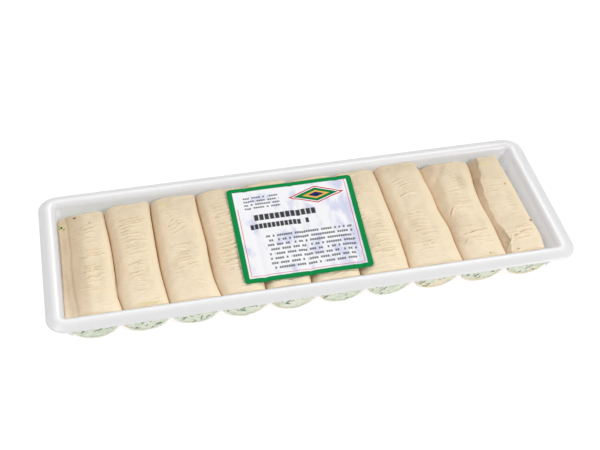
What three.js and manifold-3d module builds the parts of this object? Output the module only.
// Cannelloni ready for the oven: ten filled pasta rolls side by side in a long,
// thin-walled tray whose floor is fluted to the rolls, with a printed label laid on top.
// Millimetres, +Z up, +X along the row of rolls, +Y away from the front edge.
// The origin is the middle of the footprint, on the surface the tray stands on.

import * as THREE from 'three';
import { mergeVertices } from 'three/addons/utils/BufferGeometryUtils.js';
import Module from 'manifold-3d';

const wasm = await Module();
wasm.setup();

// ---- Driving dimensions -------------------------------------------------------------

const FIT_GAP = 0.3;              // clearance between pieces that touch

const TRAY = {
  ridgeLength: 296,               // along X, over the highest line of the rim
  ridgeWidth: 97,                 // along Y
  ridgeHeight: 28.2,
  ridgeCorner: 5,                 // plan radius of the rim's highest line
  rimInner: 3.4,                  // ridge line to the top of the inner wall
  wallTop: 26,                    // height where the inner wall meets the rim
  sideDraft: 0.165,               // inward lean of the long walls, mm for each mm down
  endDraft: 0.085,
  wall: 0.6,
  floorFillet: 3,                 // rounding between the walls and the flute floors
  filletLevels: [0, 0.15, 0.45, 1],   // sections up that rounding, as parts of its height
  tubCornerSteps: 3,
  rimCornerSteps: 4,
  opening: 5,                     // how far the cavity's cutter stands above the ridge
};

const FLUTE = {
  count: 10,
  pitch: 28.65,
  radius: 14.8,
  halfAngle: THREE.MathUtils.degToRad(72),
  segments: 9,                    // an odd number leaves a flat facet to stand on
};
FLUTE.axisHeight = FLUTE.radius * Math.cos(FLUTE.halfAngle / FLUTE.segments);
FLUTE.webHeight = FLUTE.axisHeight - FLUTE.radius * Math.cos(FLUTE.halfAngle);

const PASTA = {
  thickness: 1.7,
  slack: 0.1,                     // beyond the fit gap, for the flats between section points
  bellyAngle: THREE.MathUtils.degToRad(72),
  topHeight: 27.1,
  shoulder: [4.5, 3],             // rounding from the left and right sides to the flat top
  shoulderMin: 1.5,
  shoulderBase: 24,               // height where the sides end and the rounding starts
  sideLevels: [15, 18.5],
  leanStart: 11,                  // the lean grows from this height, over leanRise
  leanRise: 8,
  boreOvershoot: 3,
  fillingRecess: 0.6,
  frontReach: 43.6,               // before the tray's front wall trims it
  backCurl: 1.5,                  // how far the top dips towards the back end
  frontCurl: 0.6,
  curlLength: 9,
};

// Where neighbouring rolls meet above the flutes, as a lean from the web between two
// flutes: eleven lines, from the left wall to the free side of the last roll.
const LEAN_FRONT = [-0.6, 2.4, -0.2, 0.5, -2.3, -3.9, -3.9, -2.8, 1.2, -0.3, -5.2];
const LEAN_MIDDLE = [-0.3, 0.7, -2.6, -1.4, -2.0, -2.4, -2.8, -2.0, 0.2, -0.2, -5.6];
const LEAN_BACK = [-0.8, -1.2, -1.1, -2.0, -1.6, -1.8, -1.4, -1.4, -1.7, 2.0, -5.8];

// Back ends of the rolls, and how much further back each right-hand corner reaches.
const BACK_REACH = [37.4, 40.4, 42.4, 42.8, 44.0, 43.4, 43.4, 44.2, 41.0, 41.0];
const BACK_SKEW = [2.6, 1.6, 0.6, 1.0, 0.4, 0.2, 0.4, 0.2, -1.0, 0.8];
const TOP_OFFSET = [-0.2, 0.1, 0.2, 0, 0.1, 0.1, 0, 0.1, 0.3, 0.1];

// Slow waves over the tops: height, and the wavelengths along and across the roll.
const LONG_WAVE = { height: 0.2, along: 44, phase: 2.1 };
const CROSS_WAVE = { height: 0.15, along: 82, across: 31, phase: 1 };

// Free edge of the rolled sheet, seen along the top of the first roll.
const LAP = { roll: 0, width: 8.5, step: 0.9, turn: -0.03, cutter: 6 };

const LABEL = {
  thickness: 0.25,
  lift: 1.05,                     // its upper face above the mean of the roll tops
  back: 38.6,
  front: -40.6,
  left: [-42.4, -40.6],           // at the front edge, at the back edge
  right: [33.4, 38.2],
  sag: [1.1, 0.6],                // dip between two rolls, at the front and the back edge
  sagReach: 2.6,
  sagShift: 0.8,                  // the dip lies over the rounder of the two shoulders
  columns: 24,
  rows: 4,
};

// ---- Geometry helpers ---------------------------------------------------------------

function closedGeometry(points, triangles) {
  const geometry = new THREE.BufferGeometry();
  geometry.setAttribute('position', new THREE.Float32BufferAttribute(points.flat(), 3));
  geometry.setIndex(triangles.flat());
  return geometry;
}

// Skins a list of closed loops of equal length and caps both ends.
function loft(loops) {
  const count = loops[0].length;
  const points = loops.flat();
  const triangles = [];
  for (let ring = 0; ring + 1 < loops.length; ring += 1) {
    for (let k = 0; k < count; k += 1) {
      const a = ring * count + k;
      const b = ring * count + ((k + 1) % count);
      triangles.push([a, b, b + count], [a, b + count, a + count]);
    }
  }
  const centre = (loop) => [0, 1, 2].map((axis) => loop.reduce((sum, p) => sum + p[axis], 0) / count);
  const first = points.push(centre(loops[0])) - 1;
  const last = points.push(centre(loops[loops.length - 1])) - 1;
  const offset = (loops.length - 1) * count;
  for (let k = 0; k < count; k += 1) {
    const next = (k + 1) % count;
    triangles.push([first, next, k], [last, offset + k, offset + next]);
  }
  return closedGeometry(points, triangles);
}

function toSolid(geometry) {
  const bare = geometry.clone();
  bare.deleteAttribute('normal');
  bare.deleteAttribute('uv');
  const merged = mergeVertices(bare, 1e-4);
  return new wasm.Manifold(new wasm.Mesh({
    numProp: 3,
    vertProperties: Float32Array.from(merged.attributes.position.array),
    triVerts: Uint32Array.from(merged.index.array),
  }));
}

function toGeometry(solid) {
  const mesh = solid.getMesh();
  const geometry = new THREE.BufferGeometry();
  geometry.setAttribute('position', new THREE.BufferAttribute(Float32Array.from(mesh.vertProperties), 3));
  geometry.setIndex(new THREE.BufferAttribute(Uint32Array.from(mesh.triVerts), 1));
  const flat = geometry.toNonIndexed();
  flat.computeVertexNormals();
  return flat;
}

// Counter-clockwise plan of a rounded rectangle, starting on the right-hand side.
function roundedPlan(halfX, halfY, radius, stepsPerCorner) {
  const corners = [[1, 1, 0], [-1, 1, 1], [-1, -1, 2], [1, -1, 3]];
  return corners.flatMap(([sx, sy, turn]) => Array.from({ length: stepsPerCorner + 1 }, (_, step) => {
    const angle = (turn + step / stepsPerCorner) * (Math.PI / 2);
    return [
      sx * (halfX - radius) + radius * Math.cos(angle),
      sy * (halfY - radius) + radius * Math.sin(angle),
    ];
  }));
}

const smooth = (t) => THREE.MathUtils.smoothstep(t, 0, 1);

// ---- Tray ---------------------------------------------------------------------------

const fluteCentre = (index) => (index - (FLUTE.count - 1) / 2) * FLUTE.pitch;
const webPosition = (index) => (index - FLUTE.count / 2) * FLUTE.pitch;

// The scalloped section of all the flutes, extruded along Y; inset moves it into the wall.
function fluteBlock(inset, top) {
  const radius = FLUTE.radius - inset;
  const webZ = FLUTE.webHeight + inset;
  const half = Math.acos((FLUTE.axisHeight - webZ) / radius);
  const reach = TRAY.ridgeLength / 2;
  const outline = [[-reach, webZ]];
  for (let flute = 0; flute < FLUTE.count; flute += 1) {
    for (let step = 0; step <= FLUTE.segments; step += 1) {
      const angle = half * ((2 * step) / FLUTE.segments - 1);
      outline.push([
        fluteCentre(flute) + radius * Math.sin(angle),
        FLUTE.axisHeight - radius * Math.cos(angle),
      ]);
    }
  }
  outline.push([reach, webZ], [reach, top], [-reach, top]);
  const section = new THREE.Shape(outline.map(([x, z]) => new THREE.Vector2(x, z)));
  const depth = TRAY.ridgeWidth;
  const block = new THREE.ExtrudeGeometry(section, { depth, steps: 1, bevelEnabled: false });
  return block.rotateX(Math.PI / 2).translate(0, depth / 2, 0);
}

// The drafted tub that bounds the flutes: rounded plans stacked from the floor up.
function tubBlock(inset, top) {
  const halfX = TRAY.ridgeLength / 2 - TRAY.rimInner + TRAY.wall;
  const halfY = TRAY.ridgeWidth / 2 - TRAY.rimInner + TRAY.wall;
  const fillet = TRAY.floorFillet - inset;
  const levels = TRAY.filletLevels.map((part) => inset + part * fillet).concat([top]);
  const loops = levels.map((z) => {
    const drop = TRAY.wallTop - z;
    const rise = Math.min(z - inset, fillet);
    const round = fillet - Math.sqrt(fillet ** 2 - (fillet - rise) ** 2);
    const x = halfX - inset - TRAY.endDraft * drop - round;
    const y = halfY - inset - TRAY.sideDraft * drop - round;
    const corner = TRAY.ridgeCorner - TRAY.rimInner + TRAY.wall - inset;
    return roundedPlan(x, y, corner, TRAY.tubCornerSteps).map(([px, py]) => [px, py, z]);
  });
  return loft(loops);
}

function tubSolid(inset, top) {
  return toSolid(tubBlock(inset, top)).intersect(toSolid(fluteBlock(inset, top)));
}

// The rim in section: distance outward from the ridge line, and height.
function rimSection() {
  const h = TRAY.ridgeHeight;
  const outer = [
    [-TRAY.rimInner, TRAY.wallTop - 1], [-TRAY.rimInner, TRAY.wallTop], [-3.1, h - 0.9], [-1.7, h - 0.2],
    [0, h], [2.2, h - 0.3], [4.6, h - 1.0], [6, h - 1.8], [6.6, h - 3.0], [6.7, h - 4.6],
  ];
  const w = TRAY.wall;
  const under = [
    [6.7 - w, h - 4.6], [6.6 - w, h - 3.2], [5.6, h - 2.4], [4.3, h - 1.7], [2, h - 0.95],
    [0, h - 0.65], [-1.4, h - 0.85], [-2.6, h - 1.4], [-TRAY.rimInner + w, TRAY.wallTop - 0.3],
    [-TRAY.rimInner + w, TRAY.wallTop - 1],
  ];
  return outer.concat(under);
}

// Sweeps the rim's section round the rounded plan of the ridge line.
function rimRing() {
  const section = rimSection();
  const loops = section.map(([out, z]) => {
    const plan = roundedPlan(
      TRAY.ridgeLength / 2 + out,
      TRAY.ridgeWidth / 2 + out,
      TRAY.ridgeCorner + out,
      TRAY.rimCornerSteps,
    );
    return plan.map(([x, y]) => [x, y, z]);
  });
  const count = loops[0].length;
  const triangles = [];
  loops.forEach((_, ring) => {
    const nextRing = (ring + 1) % loops.length;
    for (let k = 0; k < count; k += 1) {
      const next = (k + 1) % count;
      const [a, b] = [ring * count + k, ring * count + next];
      const [c, d] = [nextRing * count + next, nextRing * count + k];
      triangles.push([a, c, b], [a, d, c]);
    }
  });
  return closedGeometry(loops.flat(), triangles);
}

function trayGeometry() {
  const above = TRAY.ridgeHeight + TRAY.opening;
  const tubTop = TRAY.wallTop - TRAY.wall / 3;
  const shell = tubSolid(0, tubTop).subtract(tubSolid(TRAY.wall, above));
  return toGeometry(shell.add(toSolid(rimRing())));
}

// ---- Pasta rolls --------------------------------------------------------------------

// Lean of a meeting line at y, from its front, middle and back values.
function leanAt(line, y) {
  const t = THREE.MathUtils.clamp(y / PASTA.frontReach, -1, 1);
  const [front, middle, back] = [LEAN_FRONT[line], LEAN_MIDDLE[line], LEAN_BACK[line]];
  return t < 0 ? middle + (front - middle) * smooth(-t) : middle + (back - middle) * smooth(t);
}

function meetingLine(line, y, z) {
  return webPosition(line) + leanAt(line, y) * smooth((z - PASTA.leanStart) / PASTA.leanRise);
}

function topHeightAt(roll, x, y) {
  const back = BACK_REACH[roll] - y;
  const front = y + PASTA.frontReach;
  const curl = PASTA.backCurl * smooth(1 - back / PASTA.curlLength)
    + PASTA.frontCurl * smooth(1 - front / PASTA.curlLength);
  const turn = 2 * Math.PI;
  const wave = LONG_WAVE.height * Math.sin(turn * (y / LONG_WAVE.along) + LONG_WAVE.phase * roll);
  const crossTurn = turn * (x / CROSS_WAVE.across + y / CROSS_WAVE.along) + CROSS_WAVE.phase * roll;
  return PASTA.topHeight + TOP_OFFSET[roll] + wave + CROSS_WAVE.height * Math.sin(crossTurn) - curl;
}

// One closed section of a roll in the plane y, clockwise seen from the front so that a
// loft towards +Y faces outward. Inset moves it inward from the pasta's outer face.
function rollSection(roll, y, inset, detail) {
  const centre = fluteCentre(roll);
  const radius = FLUTE.radius - TRAY.wall - FIT_GAP - PASTA.slack - inset;
  const clear = FIT_GAP / 2 + PASTA.slack + inset;
  const left = (z) => meetingLine(roll, y, z) + clear;
  const right = (z) => meetingLine(roll + 1, y, z) - clear;
  const shoulders = PASTA.shoulder.map((size) => Math.max(size - inset, PASTA.shoulderMin));
  const loop = [];
  for (let step = 0; step <= detail.belly; step += 1) {
    const angle = PASTA.bellyAngle * (1 - (2 * step) / detail.belly);
    loop.push([centre + radius * Math.sin(angle), FLUTE.axisHeight - radius * Math.cos(angle)]);
  }
  PASTA.sideLevels.forEach((z) => loop.push([left(z), z]));
  const flatStart = left(PASTA.shoulderBase) + shoulders[0];
  const flatEnd = right(PASTA.shoulderBase) - shoulders[1];
  const corner = (side, angle) => {
    const edge = side < 0 ? flatStart : flatEnd;
    const size = side < 0 ? shoulders[0] : shoulders[1];
    const top = topHeightAt(roll, edge, y) - inset;
    return [edge + side * size * Math.cos(angle), top - size + size * Math.sin(angle)];
  };
  for (let step = 0; step <= detail.shoulder; step += 1) {
    loop.push(corner(-1, (step / detail.shoulder) * (Math.PI / 2)));
  }
  for (let step = 1; step <= detail.top; step += 1) {
    const x = THREE.MathUtils.lerp(flatStart, flatEnd, step / (detail.top + 1));
    loop.push([x, topHeightAt(roll, x, y) - inset]);
  }
  for (let step = detail.shoulder; step >= 0; step -= 1) {
    loop.push(corner(1, (step / detail.shoulder) * (Math.PI / 2)));
  }
  PASTA.sideLevels.toReversed().forEach((z) => loop.push([right(z), z]));
  return loop;
}

// Sections follow one another from the front wall to the slanted back end.
function rollLoft(roll, inset, detail, overshoot) {
  const loops = [];
  for (let station = 0; station <= detail.stations; station += 1) {
    const t = station / detail.stations;
    const y = THREE.MathUtils.lerp(-PASTA.frontReach - overshoot, BACK_REACH[roll] + overshoot, t);
    const slant = (BACK_SKEW[roll] * t ** 4) / FLUTE.pitch;
    const middle = fluteCentre(roll);
    const section = rollSection(roll, y, inset, detail);
    loops.push(section.map(([x, z]) => [x, y + slant * (x - middle), z]));
  }
  return toSolid(loft(loops));
}

const OUTER_DETAIL = { belly: 8, shoulder: 3, top: 3, stations: 10 };
const BORE_DETAIL = { belly: 6, shoulder: 2, top: 0, stations: 6 };

function pastaGeometry(roll, trayCavity) {
  let body = rollLoft(roll, 0, OUTER_DETAIL, 0);
  if (roll === LAP.roll) body = body.subtract(lapRebate(roll));
  const bore = rollLoft(roll, PASTA.thickness, BORE_DETAIL, PASTA.boreOvershoot);
  return toGeometry(body.subtract(bore).intersect(trayCavity));
}

// Cuts the top down on the left of the free edge, which stands a step higher.
function lapRebate(roll) {
  const edge = webPosition(roll) + LAP.width;
  const floor = PASTA.topHeight + TOP_OFFSET[roll] - LAP.step;
  const block = new THREE.BoxGeometry(2 * LAP.width, 2 * TRAY.ridgeWidth, LAP.cutter);
  return toSolid(block.rotateZ(LAP.turn).translate(edge - LAP.width, 0, floor + LAP.cutter / 2));
}

function fillingGeometry(roll, trayCavity) {
  const core = rollLoft(roll, PASTA.thickness + FIT_GAP, BORE_DETAIL, -PASTA.fillingRecess);
  return toGeometry(core.intersect(trayCavity));
}

// ---- Label --------------------------------------------------------------------------

function labelHeight(x, y) {
  const t = (y - LABEL.front) / (LABEL.back - LABEL.front);
  const sag = THREE.MathUtils.lerp(LABEL.sag[0], LABEL.sag[1], t);
  const lines = LEAN_FRONT.map((_, line) => meetingLine(line, y, PASTA.topHeight) + LABEL.sagShift);
  const nearest = Math.min(...lines.map((line) => Math.abs(x - line)));
  const dip = Math.exp(-((nearest / LABEL.sagReach) ** 2));
  return PASTA.topHeight + LABEL.lift - sag * dip;
}

function labelGeometry() {
  const { columns, rows } = LABEL;
  const top = [];
  for (let row = 0; row <= rows; row += 1) {
    const t = row / rows;
    const y = THREE.MathUtils.lerp(LABEL.front, LABEL.back, t);
    const left = THREE.MathUtils.lerp(LABEL.left[0], LABEL.left[1], t);
    const right = THREE.MathUtils.lerp(LABEL.right[0], LABEL.right[1], t);
    for (let column = 0; column <= columns; column += 1) {
      const x = THREE.MathUtils.lerp(left, right, column / columns);
      top.push([x, y, labelHeight(x, y)]);
    }
  }
  const bottom = top.map(([x, y, z]) => [x, y, z - LABEL.thickness]);
  const under = top.length;
  const wide = columns + 1;
  const triangles = [];
  for (let row = 0; row < rows; row += 1) {
    for (let column = 0; column < columns; column += 1) {
      const a = row * wide + column;
      const [b, c, d] = [a + 1, a + wide + 1, a + wide];
      triangles.push([a, b, c], [a, c, d]);
      triangles.push([under + a, under + c, under + b], [under + a, under + d, under + c]);
    }
  }
  const front = Array.from({ length: wide }, (_, k) => k);
  const rightSide = Array.from({ length: rows + 1 }, (_, k) => k * wide + columns);
  const back = front.map((k) => rows * wide + (columns - k));
  const leftSide = rightSide.map((_, k) => (rows - k) * wide);
  [front, rightSide, back, leftSide].forEach((edge) => {
    for (let k = 0; k + 1 < edge.length; k += 1) {
      const [a, b] = [edge[k], edge[k + 1]];
      triangles.push([a, under + a, under + b], [a, under + b, b]);
    }
  });
  return closedGeometry(top.concat(bottom), triangles);
}

// ---- Assembly -----------------------------------------------------------------------

const trayPlastic = new THREE.MeshStandardMaterial({ color: 0xf1f1f2, roughness: 0.3, metalness: 0 });
const pastaDough = new THREE.MeshStandardMaterial({ color: 0xf0dfc0, roughness: 0.6, metalness: 0 });
const ricottaFilling = new THREE.MeshStandardMaterial({ color: 0xdbe2cc, roughness: 0.75, metalness: 0 });
const labelPaper = new THREE.MeshStandardMaterial({ color: 0xf6f6f8, roughness: 0.4, metalness: 0 });

const cannelloni = new THREE.Group();
cannelloni.name = 'cannelloni';

function addPiece(name, geometry, material) {
  const mesh = new THREE.Mesh(geometry, material);
  mesh.name = name;
  cannelloni.add(mesh);
}

addPiece('tray', trayGeometry(), trayPlastic);
const trayCavity = tubSolid(TRAY.wall + FIT_GAP, TRAY.ridgeHeight + TRAY.opening);
for (let roll = 0; roll < FLUTE.count; roll += 1) {
  addPiece(`pasta_${roll + 1}`, pastaGeometry(roll, trayCavity), pastaDough);
  addPiece(`filling_${roll + 1}`, fillingGeometry(roll, trayCavity), ricottaFilling);
}
addPiece('label', labelGeometry(), labelPaper);

export default cannelloni;
